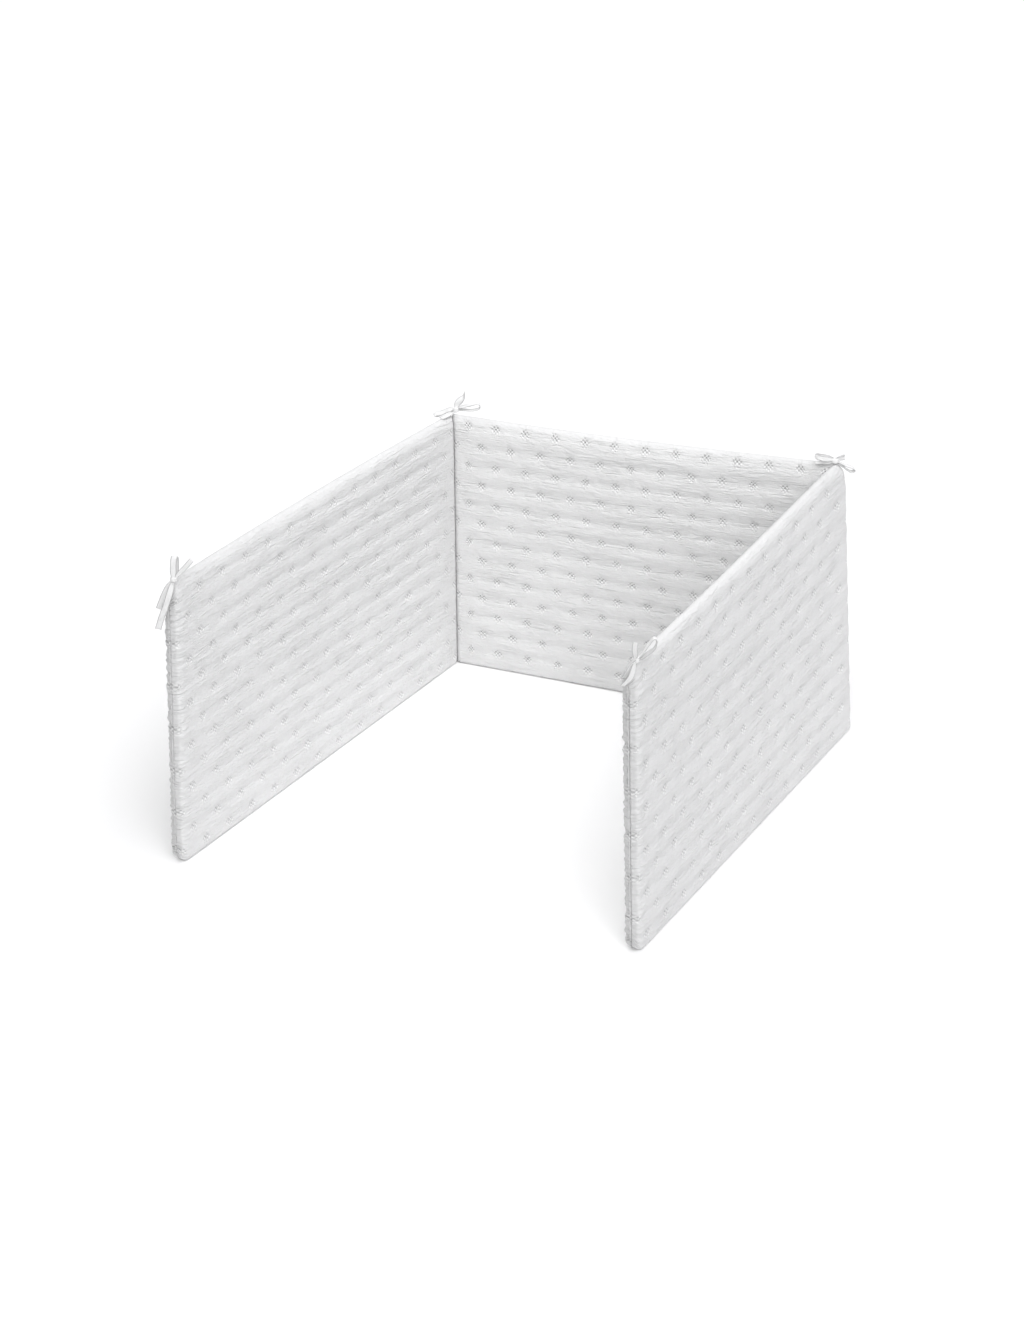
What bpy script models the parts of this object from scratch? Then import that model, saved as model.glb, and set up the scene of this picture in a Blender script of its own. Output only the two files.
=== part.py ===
"""Crib bumper: three quilted padded panels that stand in a U, two corner seams and four ribbon ties.

Metres, +Z up. The back panel runs along X, the open front faces -Y. The origin is on the floor,
under the middle of the whole bumper.
"""
import math

import bpy
from mathutils import Vector

# Panels
PANEL_HEIGHT = 0.400
THICKNESS = 0.0208
BOTTOM_RADIUS = 0.0060
BOTTOM_ARC_STEPS = 2
CREST_RISE = 0.0185
CREST_ARC_STEPS = 4
SHOULDER_CLEAR = 0.005
BLEND_SOFTNESS = 0.10

# Post lines where the panels meet or end: foot x, foot y, lean of the top in x and y, crest height
POSTS = {
    "front_left": (-0.4433, -0.5841, 0.0162, 0.0258, 0.4063),
    "back_left": (-0.2895, 0.0000, 0.0058, 0.0046, 0.3950),
    "back_right": (0.2895, 0.0011, -0.0330, 0.0157, 0.4006),
    "front_right": (0.1689, -0.5646, -0.0123, 0.0176, 0.3987),
}

# Each panel: name, start post, end post, first tuft column and row in pitches, sag of the crest
PANELS = (
    ("panel_left", "front_left", "back_left", 0.02, 0.533, -0.0046),
    ("panel_back", "back_left", "back_right", -0.936, 0.913, 0.0037),
    ("panel_right", "back_right", "front_right", 0.157, 0.653, 0.0041),
)
FREE_ENDS = ("front_left", "front_right")

# Quilting: tufts on a diamond lattice and a shallow crease along each row
TUFT_COLUMN = 0.0230
TUFT_ROW = 0.0302
TUFT_DEPTH = 0.0032
CREASE_DEPTH = 0.0006
CREST_SHARE = 0.5
FOOT_FADE = 0.018

# Front ends are closed and rounded, corner ends are mitred against each other
FRONT_REACH = 0.0113
FRONT_INSET = 0.0078
FRONT_CORNER_RADIUS = 0.016
FRONT_NOTCH = 0.0020
MITRE_INNER_RADIUS = 0.004
MITRE_OUTER_RADIUS = 0.0095
MITRE_CORNER_RADIUS = 0.005
MITRE_GAP = 0.0005
MITRE_FADE = 0.050
CORNER_POWER = 9
END_STEPS = (0.0, 0.08, 0.28, 0.58, 1.0)
END_CLEAR = 0.008

# Corner seams: a flat strip of cloth along the outside of each fold
SEAM_THICKNESS = 0.0010
SEAM_INNER = 0.0050
SEAM_OUTER = 0.0064
SEAM_FOOT = 0.004
SEAM_BELOW_CREST = 0.024
SEAM_STEPS = 12

# Ribbon ties, in millimetres from the top of their post. Across and away are level directions,
# turned by TIE_TURN from X and Y
TIE_TURN = math.radians(21.4)
RIBBON_WIDTH = 9.0
RIBBON_THICKNESS = 1.2
RIBBON_STEPS = 3
KNOT_SIZE = (9.0, 8.0, 8.0)
KNOT_STEPS = (10, 7)

# Each tie: post, knot (across, up, away), then its ribbons. A ribbon has the direction that its
# width keeps to, then points (across, up, away, turn of the width from that direction in degrees)
TIES = {
    "tie_back_left": ("back_left", (6.2, 6.0, 1.5), (
        ("away", (5.6, 5.6, 1.3, 0), (15, 5.0, 1, 0), (28, 4.7, 0, 0), (37.0, 6.6, 0, 0),
         (39.6, 11.0, 0, 0), (36.0, 14.6, 0, 0), (27.0, 13.6, 0, 0), (15, 9.8, 1, 0),
         (5.4, 7.9, 1.7, 0)),
        ("away", (7.2, 7.4, 1.9, 0), (-3, 5.8, 2, 0), (-13, 1.0, 3, 0), (-21, -0.8, 4, 0),
         (-24.2, -3.4, 4, 0), (-21, -6.2, 4, 0), (-13, -3.2, 3, 0), (-3, 1.8, 2, 0),
         (6.8, 4.3, 1.4, 0)),
        ("away", (6.0, 6.2, 1.1, 90), (8.2, 14.5, 1, 80), (12.5, 20.3, 0, 60),
         (17.3, 25.0, 0, 20), (19.3, 32.0, 0, 0)),
        ("away", (6.5, 4.6, 1.6, 0), (-1.0, 2.8, -4.5, 0), (-7.5, 2.2, -11.0, 0),
         (-13.2, 2.2, -18.5, 0)),
    )),
    "tie_back_right": ("back_right", (-2.5, 5.2, -1.0), (
        ("away", (-1.9, 6.7, -0.8, 0), (-12, 9.0, -1, 0), (-21, 11.6, -1, 0),
         (-27.0, 13.6, -1, 0), (-29.0, 11.4, -1, 0), (-22, 8.2, -1, 0), (-12, 5.9, -1, 0),
         (-1.7, 5.2, -1.2, 0)),
        ("away", (-2.1, 3.5, -1.3, 0), (-10, 2.4, -1, 0), (-19, 2.2, 0, 0), (-28.4, 2.2, 0, 0)),
        ("away", (-2.9, 7.4, -1.4, 0), (3.0, 9.6, -1, 0), (8.4, 10.2, -1, 0),
         (11.0, 7.4, -1, 0), (7.2, 5.2, -1, 0), (-1.2, 5.9, -0.9, 0)),
        ("away", (-2.7, 4.6, -0.7, 0), (4.5, 2.8, -3, 0), (12.0, -0.6, -4, 0),
         (18.8, -3.6, -4, 0), (23.4, -7.4, -4, 0), (19.0, -9.8, -4, 0), (12.6, -6.2, -4, 0),
         (5.0, -0.4, -3, 0), (-2.2, 2.3, -1.1, 0)),
    )),
    "tie_front_left": ("front_left", (7.0, 6.4, -2.0), (
        ("across", (6.7, 5.6, -3.6, 0), (8.0, 16, -3.4, 0), (9.6, 27, -3, 0),
         (11.4, 34.0, -1.0, 0), (13.0, 35.6, 2.0, 0), (13.6, 32.0, 5.0, 0), (12.8, 22, 5, 0),
         (10.8, 13, 3, 0), (8.0, 4.6, 0.6, 0)),
        ("away", (7.9, 7.9, -1.7, 70), (13.5, 12.4, -1, 70), (21.5, 20.4, 0, 75),
         (31.0, 31.0, 0, 80)),
        ("away", (7.5, 6.0, -1.2, 70), (0.5, -1.5, -6.4, 70), (-6.2, -14, -7.4, 75),
         (-14.2, -32, -6.6, 80)),
        ("away", (6.2, 4.4, -2.0, 70), (1.6, -9.0, -9.8, 75), (-5.4, -28.0, -10.9, 80),
         (-11.5, -43.0, -9.6, 80), (-17.6, -60.0, -8.6, 80)),
    )),
    "tie_front_right": ("front_right", (8.6, 4.6, 7.0), (
        ("away", (8.9, 5.3, 6.8, 0), (15.5, 10.5, 9, 0), (23.4, 20.0, 14, 0),
         (29.6, 26.4, 18, 0), (33.4, 24.4, 18, 0), (31.4, 16.6, 16, 0), (24.6, 11.4, 12, 0),
         (16.4, 6.6, 9, 0), (8.2, 3.1, 7.2, 0)),
        ("away", (8.5, 5.0, 6.9, 90), (7.8, 13.0, 5, 90), (7.4, 22.0, 4, 80),
         (8.6, 31.0, 3, 40)),
        ("away", (9.2, 4.8, 7.5, 60), (4.4, 3.4, -2.0, 60), (0.4, -1.0, -6.0, 60),
         (-6.4, -11.6, -7.0, 60)),
        ("away", (7.9, 3.7, 6.4, 60), (5.6, 0.2, -5.0, 60), (1.4, -9.0, -9.6, 60),
         (-7.4, -19.2, -10.0, 60)),
    )),
}
REFERENCES = {"across": Vector((1.0, 0.0, 0.0)), "away": Vector((0.0, 1.0, 0.0))}

# The middle of the whole bumper, from the middle of the back panel
CENTRE = Vector((-0.0756, -0.2789))

# Colour and roughness of each cloth
QUILTED_CLOTH = ((0.86, 0.86, 0.85), 0.9)
RIBBON_CLOTH = ((0.90, 0.90, 0.89), 0.85)


def clear_scene():
    for old in list(bpy.data.objects):
        bpy.data.objects.remove(old, do_unlink=True)


def material(name, color, roughness):
    made = bpy.data.materials.new(name)
    made.use_nodes = True
    shader = made.node_tree.nodes["Principled BSDF"]
    shader.inputs["Base Color"].default_value = (*color, 1.0)
    shader.inputs["Roughness"].default_value = roughness
    shader.inputs["Metallic"].default_value = 0.0
    made.diffuse_color = (*color, 1.0)
    return made


def add_object(name, points, faces, place, heading, cloth, smooth=True):
    """A mesh object of points in its own frame, on this spot of the floor and turned about Z."""
    mesh = bpy.data.meshes.new(name)
    mesh.from_pydata(points, [], faces)
    mesh.update()
    if smooth:
        mesh.shade_smooth()
    mesh.materials.append(material(name + "_cloth", *cloth))
    made = bpy.data.objects.new(name, mesh)
    made.location = place
    made.rotation_euler = (0.0, 0.0, heading)
    bpy.context.scene.collection.objects.link(made)
    return made


def floor_place(x, y, up=0.0):
    return Vector((x - CENTRE.x, y - CENTRE.y, up))


def smoothstep(u):
    u = min(max(u, 0.0), 1.0)
    return u * u * (3.0 - 2.0 * u)


def round_inset(distance, reach, depth):
    """How far a quarter ellipse draws a face in, this far from the end."""
    if distance >= reach:
        return 0.0
    return depth * (1.0 - math.sqrt(1.0 - (1.0 - distance / reach) ** 2))


def direction(start, end):
    """The level unit vector from one post's foot to the next, and the length between them."""
    run = Vector(POSTS[end][:2]) - Vector(POSTS[start][:2])
    return run.normalized(), run.length


def mitre_slope(before, post, after):
    first, _ = direction(before, post)
    second, _ = direction(post, after)
    return math.tan(first.angle(second) / 2)


SLOPES = {
    "back_left": mitre_slope("front_left", "back_left", "back_right"),
    "back_right": mitre_slope("back_left", "back_right", "front_right"),
}


def post_blend(u, start, end):
    """0 at the start post and 1 at the end post, level at a corner post."""
    u = min(max(u, 0.0), 1.0)
    first = u if start in FREE_ENDS else u * u / (u + BLEND_SOFTNESS)
    rest = 1.0 - u
    last = rest if end in FREE_ENDS else rest * rest / (rest + BLEND_SOFTNESS)
    return first / (first + last)


def tuft_pull(column, row):
    """1 at a tuft, 0 at the middle of a pillow."""
    return 0.5 * (1.0 + math.cos(math.pi * column) * math.cos(math.pi * row))


def quilt_depth(column, row):
    crease = 0.5 * (1.0 + math.cos(2.0 * math.pi * row))
    return TUFT_DEPTH * tuft_pull(column, row) ** 2 + CREASE_DEPTH * crease


def section_profile(row_start):
    """Half of the section from the foot to the crest.

    Each entry is (height, across, normal across, normal up, row coordinate, share of the quilting).
    """
    half = THICKNESS / 2
    profile = []
    for k in range(BOTTOM_ARC_STEPS + 1):
        angle = math.pi / 2 * k / (BOTTOM_ARC_STEPS + 1)
        height = BOTTOM_RADIUS * (1.0 - math.cos(angle))
        across = half - BOTTOM_RADIUS * (1.0 - math.sin(angle))
        row = height / TUFT_ROW - row_start
        profile.append((height, across, math.sin(angle), -math.cos(angle), row, 0.0))
    shoulder = PANEL_HEIGHT - CREST_RISE
    step = TUFT_ROW / 2
    level = row_start * TUFT_ROW
    while level - step > BOTTOM_RADIUS:
        level -= step
    while level < shoulder - SHOULDER_CLEAR:
        share = smoothstep((level - BOTTOM_RADIUS / 2) / FOOT_FADE)
        profile.append((level, half, 1.0, 0.0, level / TUFT_ROW - row_start, share))
        level += step
    for k in range(CREST_ARC_STEPS + 1):
        angle = math.pi / 2 * k / CREST_ARC_STEPS
        height = shoulder + CREST_RISE * math.sin(angle)
        across = half * math.cos(angle)
        normal = Vector((math.cos(angle) / half, math.sin(angle) / CREST_RISE)).normalized()
        row = height / TUFT_ROW - row_start
        share = 1.0 - (1.0 - CREST_SHARE) * math.sin(angle)
        profile.append((height, across, normal.x, normal.y, row, share))
    return profile


def section_loop(profile):
    """The whole section: up the outer face, over the crest and down the inner face."""
    inner = [(z, -t, -nt, nz, row, share) for z, t, nt, nz, row, share in reversed(profile[:-1])]
    return profile + inner


def stations(length, start, end, column_start):
    """Distances along the panel: close steps round each end and one at each tuft column between."""
    first = FRONT_REACH if start in FREE_ENDS else MITRE_OUTER_RADIUS
    last = FRONT_REACH if end in FREE_ENDS else MITRE_OUTER_RADIUS
    found = [first * u for u in END_STEPS]
    column = math.ceil((first + END_CLEAR) / TUFT_COLUMN - column_start)
    while (column + column_start) * TUFT_COLUMN < length - last - END_CLEAR:
        found.append((column + column_start) * TUFT_COLUMN)
        column += 1
    found += [length - last * u for u in reversed(END_STEPS)]
    return found


def end_shape(distance, post, outer):
    """Inset of a face, and of the crest and foot, this far from the end at this post."""
    if post in FREE_ENDS:
        face = round_inset(distance, FRONT_REACH, FRONT_INSET)
        return face, round_inset(distance, FRONT_CORNER_RADIUS, FRONT_CORNER_RADIUS)
    radius = MITRE_OUTER_RADIUS if outer else MITRE_INNER_RADIUS
    face = round_inset(distance, radius, radius)
    return face, round_inset(distance, MITRE_CORNER_RADIUS, MITRE_CORNER_RADIUS)


def end_shift(distance, post, across, column, row, share):
    """How far a point near the end at this post moves inwards along the panel."""
    if post in FREE_ENDS:
        near = max(0.0, 1.0 - distance / FRONT_REACH)
        return FRONT_NOTCH * share * near * tuft_pull(column, row) ** 2
    fade = 1.0 - smoothstep(distance / MITRE_FADE)
    return (MITRE_GAP - across * SLOPES[post]) * fade


def panel(name, start, end, column_start, row_start, sag):
    along, length = direction(start, end)
    out = Vector((-along.y, along.x))
    loop = section_loop(section_profile(row_start))
    found = stations(length, start, end, column_start)
    points = []
    for s in found:
        u = s / length
        blend = post_blend(u, start, end)
        lean = Vector(POSTS[start][2:4]).lerp(Vector(POSTS[end][2:4]), blend)
        crest = POSTS[start][4] * (1.0 - blend) + POSTS[end][4] * blend
        crest -= sag * 4.0 * u * (1.0 - u)
        column = s / TUFT_COLUMN - column_start
        first_column = round(-column_start)
        last_column = round(length / TUFT_COLUMN - column_start)
        fade = smoothstep(s / TUFT_COLUMN) * smoothstep((length - s) / TUFT_COLUMN)
        for height, across, normal_across, normal_up, row, share in loop:
            depth = quilt_depth(column, row) * share * fade
            face_a, corner_a = end_shape(s, start, across > 0.0)
            face_b, corner_b = end_shape(length - s, end, across > 0.0)
            t = across - normal_across * depth
            t -= math.copysign((face_a + face_b) * abs(across) / (THICKNESS / 2), across)
            up = height - normal_up * depth
            level = 2.0 * up / PANEL_HEIGHT - 1.0
            up -= math.copysign(abs(level) ** CORNER_POWER, level) * (corner_a + corner_b)
            up *= crest / PANEL_HEIGHT
            shift = end_shift(s, start, t, first_column, row, share)
            shift -= end_shift(length - s, end, t, last_column, row, share)
            rise = up / PANEL_HEIGHT
            x = s + shift + lean.dot(along) * rise
            points.append((x, t + lean.dot(out) * rise, up))
    faces = loft_faces(len(found), len(loop))
    heading = math.atan2(along.y, along.x)
    return add_object(name, points, faces, floor_place(*POSTS[start][:2]), heading, QUILTED_CLOTH)


def loft_faces(rows, count):
    """Quads between closed loops of points, and a ladder of quads across the first and last loop."""
    faces = []
    for i in range(rows - 1):
        low = i * count
        high = low + count
        for k in range(count):
            follow = (k + 1) % count
            faces.append((low + k, low + follow, high + follow, high + k))
    last = (rows - 1) * count
    k = 0
    other = count - 1
    while other - k > 2:
        faces.append((k, other, other - 1, k + 1))
        faces.append((last + k, last + k + 1, last + other - 1, last + other))
        k += 1
        other -= 1
    if other - k == 2:
        faces.append((k, other, k + 1))
        faces.append((last + k, last + k + 1, last + other))
    return faces


def seam(name, before, post, after):
    """A strip on the plane between two mitred ends, just inside the outer faces."""
    first, _ = direction(before, post)
    second, _ = direction(post, after)
    outward = (Vector((-first.y, first.x)) + Vector((-second.y, second.x))).normalized()
    sideways = Vector((-outward.y, outward.x))
    stretch = math.sqrt(1.0 + SLOPES[post] ** 2)
    x, y, lean_x, lean_y, crest = POSTS[post]
    lean = Vector((lean_x, lean_y))
    top = crest - SEAM_BELOW_CREST
    half = SEAM_THICKNESS / 2
    points = []
    for k in range(SEAM_STEPS + 1):
        up = SEAM_FOOT + (top - SEAM_FOOT) * k / SEAM_STEPS
        out_lean = lean.dot(outward) * up / PANEL_HEIGHT
        side_lean = lean.dot(sideways) * up / PANEL_HEIGHT
        near = SEAM_INNER * stretch + out_lean
        far = SEAM_OUTER * stretch + out_lean
        points.append((near, side_lean - half, up))
        points.append((far, side_lean - half, up))
        points.append((far, side_lean + half, up))
        points.append((near, side_lean + half, up))
    faces = loft_faces(SEAM_STEPS + 1, 4)
    heading = math.atan2(outward.y, outward.x)
    return add_object(name, points, faces, floor_place(x, y), heading, QUILTED_CLOTH, smooth=False)


def spline(points, steps):
    """A smooth curve through the points, each a tuple of equal length."""
    rows = [Vector(p[:3]) for p in points]
    turns = [p[3] for p in points]
    rows = [rows[0] * 2 - rows[1]] + rows + [rows[-1] * 2 - rows[-2]]
    found = []
    for i in range(len(points) - 1):
        a, b, c, d = rows[i:i + 4]
        for k in range(steps):
            u = k / steps
            place = 0.5 * (2 * b + (c - a) * u + (2 * a - 5 * b + 4 * c - d) * u ** 2
                           + (3 * b - a - 3 * c + d) * u ** 3)
            found.append((place, turns[i] * (1 - u) + turns[i + 1] * u))
    found.append((rows[-2], turns[-1]))
    return found


def ribbon_points(reference, points):
    """Corners of a flat ribbon swept along its centre line, across/away/up in millimetres."""
    kept = REFERENCES[reference]
    line = [(Vector((p.x, p.z, p.y)), turn) for p, turn in spline(points, RIBBON_STEPS)]
    found = []
    for i, (place, turn) in enumerate(line):
        ahead = line[min(i + 1, len(line) - 1)][0]
        behind = line[max(i - 1, 0)][0]
        along = (ahead - behind).normalized()
        width = (kept - along * kept.dot(along)).normalized()
        face = along.cross(width)
        angle = math.radians(turn)
        wide = (width * math.cos(angle) + face * math.sin(angle)) * (RIBBON_WIDTH / 2)
        thin = (face * math.cos(angle) - width * math.sin(angle)) * (RIBBON_THICKNESS / 2)
        found += [place - wide - thin, place + wide - thin, place + wide + thin, place - wide + thin]
    return found


def knot_points(centre):
    """A rounded lump of cloth, as rings of points from bottom to top."""
    around, rings = KNOT_STEPS
    across, up, away = centre
    found = []
    for i in range(rings):
        tilt = math.pi * (i + 0.5) / rings - math.pi / 2
        for k in range(around):
            turn = 2 * math.pi * k / around
            found.append(Vector((
                across + KNOT_SIZE[0] / 2 * math.cos(tilt) * math.cos(turn),
                away + KNOT_SIZE[1] / 2 * math.cos(tilt) * math.sin(turn),
                up + KNOT_SIZE[2] / 2 * math.sin(tilt),
            )))
    return found


def knot_faces():
    around, rings = KNOT_STEPS
    faces = [tuple(reversed(range(around)))]
    for i in range(rings - 1):
        for k in range(around):
            follow = (k + 1) % around
            low = i * around
            faces.append((low + k, low + follow, low + around + follow, low + around + k))
    faces.append(tuple(range((rings - 1) * around, rings * around)))
    return faces


def tie(name, post, centre, ribbons):
    x, y, lean_x, lean_y, crest = POSTS[post]
    share = crest / PANEL_HEIGHT
    top = floor_place(x + lean_x * share, y + lean_y * share, crest)

    def in_metres(points):
        return [tuple(p * 0.001) for p in points]

    knot = add_object(name, in_metres(knot_points(centre)), knot_faces(), top, TIE_TURN, RIBBON_CLOTH)
    for number, (reference, *points) in enumerate(ribbons, 1):
        corners = in_metres(ribbon_points(reference, points))
        faces = loft_faces(len(corners) // 4, 4)
        part = f"{name}_ribbon_{number}"
        ribbon = add_object(part, corners, faces, (0.0, 0.0, 0.0), 0.0, RIBBON_CLOTH)
        ribbon.parent = knot
        ribbon.hide_render = True
        ribbon.display_type = "WIRE"
        joined = knot.modifiers.new(f"ribbon_{number}", "BOOLEAN")
        joined.operation = "UNION"
        joined.solver = "EXACT"
        joined.use_self = True
        joined.object = ribbon
    return knot


def main():
    clear_scene()
    for row in PANELS:
        panel(*row)
    seam("seam_back_left", "front_left", "back_left", "back_right")
    seam("seam_back_right", "back_left", "back_right", "front_right")
    for name, (post, centre, ribbons) in TIES.items():
        tie(name, post, centre, ribbons)


main()
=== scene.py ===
"""Crib bumper: quilted cloth panels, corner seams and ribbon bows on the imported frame, with its stage."""

import math

import bpy
import numpy as np
from mathutils import Matrix, Vector


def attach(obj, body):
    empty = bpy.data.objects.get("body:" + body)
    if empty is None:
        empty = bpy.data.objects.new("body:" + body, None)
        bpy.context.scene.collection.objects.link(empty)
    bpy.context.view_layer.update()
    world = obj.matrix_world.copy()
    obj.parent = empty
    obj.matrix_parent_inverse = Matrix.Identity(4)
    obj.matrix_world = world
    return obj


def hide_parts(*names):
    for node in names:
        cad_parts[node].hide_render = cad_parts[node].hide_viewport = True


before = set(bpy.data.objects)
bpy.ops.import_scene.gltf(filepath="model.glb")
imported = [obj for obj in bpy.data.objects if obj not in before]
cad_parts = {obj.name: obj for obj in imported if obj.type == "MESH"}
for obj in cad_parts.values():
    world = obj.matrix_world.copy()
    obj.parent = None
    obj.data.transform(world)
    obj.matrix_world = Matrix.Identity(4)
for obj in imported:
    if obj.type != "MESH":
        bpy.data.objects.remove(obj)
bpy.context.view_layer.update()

# ---------------------------------------------------------------- sizes shared with the frame, in metres
PANEL_HEIGHT = 0.400
THICKNESS = 0.0208
HALF = THICKNESS / 2
BOTTOM_RADIUS = 0.0060
CREST_RISE = 0.0200
CREST_POWER = 2.2
BLEND_SOFTNESS = 0.10
CENTRE = (-0.0756, -0.2789)

# foot x, foot y, lean of the top in x and y, crest height
POSTS = {
    "front_left": (-0.4433, -0.5841, 0.0162, 0.0258, 0.4063),
    "back_left": (-0.2895, 0.0000, 0.0058, 0.0046, 0.3950),
    "back_right": (0.2895, 0.0011, -0.0330, 0.0157, 0.4006),
    "front_right": (0.1689, -0.5646, -0.0123, 0.0176, 0.3987),
}
# name, start post, end post, first tuft column and row, sag of the crest, seed
PANELS = (
    ("panel_left", "front_left", "back_left", 0.02, 0.533, -0.0046, 11),
    ("panel_back", "back_left", "back_right", -0.936, 0.913, 0.0037, 22),
    ("panel_right", "back_right", "front_right", 0.157, 0.653, 0.0041, 33),
)
FREE_ENDS = ("front_left", "front_right")
TUFT_COLUMN = 0.0230
TUFT_ROW = 0.0302
FRONT_REACH = 0.0113
FRONT_INSET = 0.0078
FRONT_CORNER_RADIUS = 0.016
FRONT_NOTCH = 0.0012
MITRE_INNER_RADIUS = 0.004
MITRE_OUTER_RADIUS = 0.0095
MITRE_CORNER_RADIUS = 0.005
MITRE_GAP = 0.0003
MITRE_FADE = 0.050
CORNER_POWER = 9

# ---------------------------------------------------------------- quilted relief
GRID = 0.0024
END_BAND = 0.013
END_ROWS = 7
TUFT_DEPTH = 0.0012
TUFT_GRIP = 0.0026
PIT_ACROSS = 0.0072
PIT_UP = 0.0050
CREASE_DEPTH = 0.0020
CREASE_WIDTH = 0.0076
CREASE_ROUND_TUFT = 0.014
CREASE_DRIFT = 0.0012
CORNER_FADE = {"panel_left": 0.090, "panel_back": 0.055, "panel_right": 0.040}
SHOULDER_REACH = 0.045
SHOULDER_DRAW = 0.0014
CREST_FADE = 0.0150
RISE_ABOVE_FOOT = (0.002, 0.018)
FADE_START = 0.004
FRONT_FADE = 0.020
FRONT_CALM = (0.02, 0.09)
PILLOW_RISE = 0.0010
CREST_SHARE = 0.25
FRONT_SHARE = {"panel_left": 0.55, "panel_back": 1.0, "panel_right": 0.9}
RELIEF = {"panel_left": 1.0, "panel_back": 0.9, "panel_right": 1.7}
SPARE_ALONG = 0.010
SPARE_UP = 0.022
BEND_STIFFNESS = 0.010
FILLING_STIFFNESS = 0.002
RELAX_STEPS = 220
START_RIPPLE = 0.0002
BLUNT_REACH = 0.0046
# rings of the front seam's lips, outermost first: how far back, and share of the end's half thickness
LIPS = ((-0.0005, 0.86), (-0.0007, 0.58), (-0.0003, 0.30), (0.0004, 0.12))
LIP_STEP = 0.0008
LIP_PITCH = 0.0091
LIP_PUCKER = 0.0002
PINCH_DEPTH = 0.0009
PINCH_REACH = 0.016


def smoothstep(u):
    u = np.clip(u, 0.0, 1.0)
    return u * u * (3.0 - 2.0 * u)


def post_xy(name):
    return np.array(POSTS[name][:2]) - CENTRE


def direction(start, end):
    run = post_xy(end) - post_xy(start)
    length = float(np.hypot(*run))
    return run / length, length


def mitre_slope(before, post, after):
    a = direction(before, post)[0]
    b = direction(post, after)[0]
    return math.tan(math.acos(float(np.clip(a @ b, -1, 1))) / 2)


SLOPES = {
    "back_left": mitre_slope("front_left", "back_left", "back_right"),
    "back_right": mitre_slope("back_left", "back_right", "front_right"),
}


def post_blend(u, start, end):
    u = np.clip(u, 0.0, 1.0)
    first = u if start in FREE_ENDS else u * u / (u + BLEND_SOFTNESS)
    rest = 1.0 - u
    last = rest if end in FREE_ENDS else rest * rest / (rest + BLEND_SOFTNESS)
    return first / (first + last)


def round_inset(distance, reach, depth):
    u = np.clip(1.0 - distance / reach, 0.0, 1.0)
    return depth * (1.0 - np.sqrt(np.maximum(1.0 - u * u, 0.0)))


def section_table():
    """The section as a closed line from the middle of the foot up the outer face and down the inner one.

    Columns: length along the line, across, height, normal across, normal up.
    """
    line = []
    for k in range(9):
        line.append(((HALF - BOTTOM_RADIUS) * k / 8, 0.0, 0.0, -1.0))
    for k in range(1, 25):
        a = math.pi / 2 * k / 24
        line.append((HALF - BOTTOM_RADIUS * (1 - math.sin(a)), BOTTOM_RADIUS * (1 - math.cos(a)),
                     math.sin(a), -math.cos(a)))
    shoulder = PANEL_HEIGHT - CREST_RISE
    for k in range(1, 101):
        line.append((HALF, BOTTOM_RADIUS + (shoulder - BOTTOM_RADIUS) * k / 100, 1.0, 0.0))
    for k in range(1, 65):
        a = math.pi / 2 * k / 64
        across, rise = math.cos(a) ** (2 / CREST_POWER), math.sin(a) ** (2 / CREST_POWER)
        n = np.array((across ** (CREST_POWER - 1) / HALF, rise ** (CREST_POWER - 1) / CREST_RISE))
        n /= np.hypot(*n)
        line.append((HALF * across, shoulder + CREST_RISE * rise, n[0], n[1]))
    line += [(-t, z, -nt, nz) for t, z, nt, nz in reversed(line[:-1])]
    line = np.array(line)
    steps = np.hypot(*np.diff(line[:, :2], axis=0).T)
    return np.column_stack((np.concatenate(([0.0], np.cumsum(steps))), line))


SECTION = section_table()
GIRTH = SECTION[-1, 0]


def section_at(reach):
    return [np.interp(reach, SECTION[:, 0], SECTION[:, k]) for k in (1, 2, 3, 4)]


def spread(length, band, step, fine):
    """Distances from 0 to length, about step apart and closer over a band at each end."""
    middle = max(2, round((length - (band + band)) / step))
    first = np.linspace(0, 1, fine + 1)[:-1] ** 1.5 * band
    return np.concatenate((first, np.linspace(band, length - band, middle + 1), length - first[::-1]))


def filtered_noise(shape, step, waves, seed):
    """Smooth noise of unit spread on a grid; waves are the longest and shortest lengths along each axis."""
    rng = np.random.default_rng(seed)
    field = np.fft.fft2(rng.standard_normal(shape))
    fy = np.fft.fftfreq(shape[0], step)[:, None]
    fx = np.fft.fftfreq(shape[1], step)[None, :]
    (long_s, short_s), (long_z, short_z) = waves
    keep = np.exp(-(fy * short_s) ** 2 - (fx * short_z) ** 2)
    keep *= 1 - np.exp(-(fy * long_s) ** 2 - (fx * long_z) ** 2)
    field = np.real(np.fft.ifft2(field * keep))
    return field / field.std()


def sample(field, step, s, v):
    """Bilinear lookup of a noise field at these lengths."""
    a = np.clip(s / step, 0, field.shape[0] - 1.001)
    b = np.clip(v / step, 0, field.shape[1] - 1.001)
    i, j = a.astype(int), b.astype(int)
    fa, fb = a - i, b - j
    return ((field[i, j] * (1 - fb) + field[i, j + 1] * fb) * (1 - fa)
            + (field[i + 1, j] * (1 - fb) + field[i + 1, j + 1] * fb) * fa)


def nearest_tuft(column, row):
    """Offset in pitches from the nearest tuft of the diamond lattice."""
    p, q = (column + row) / 2, (column - row) / 2
    dp, dq = p - np.round(p), q - np.round(q)
    return dp + dq, dp - dq


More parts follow.
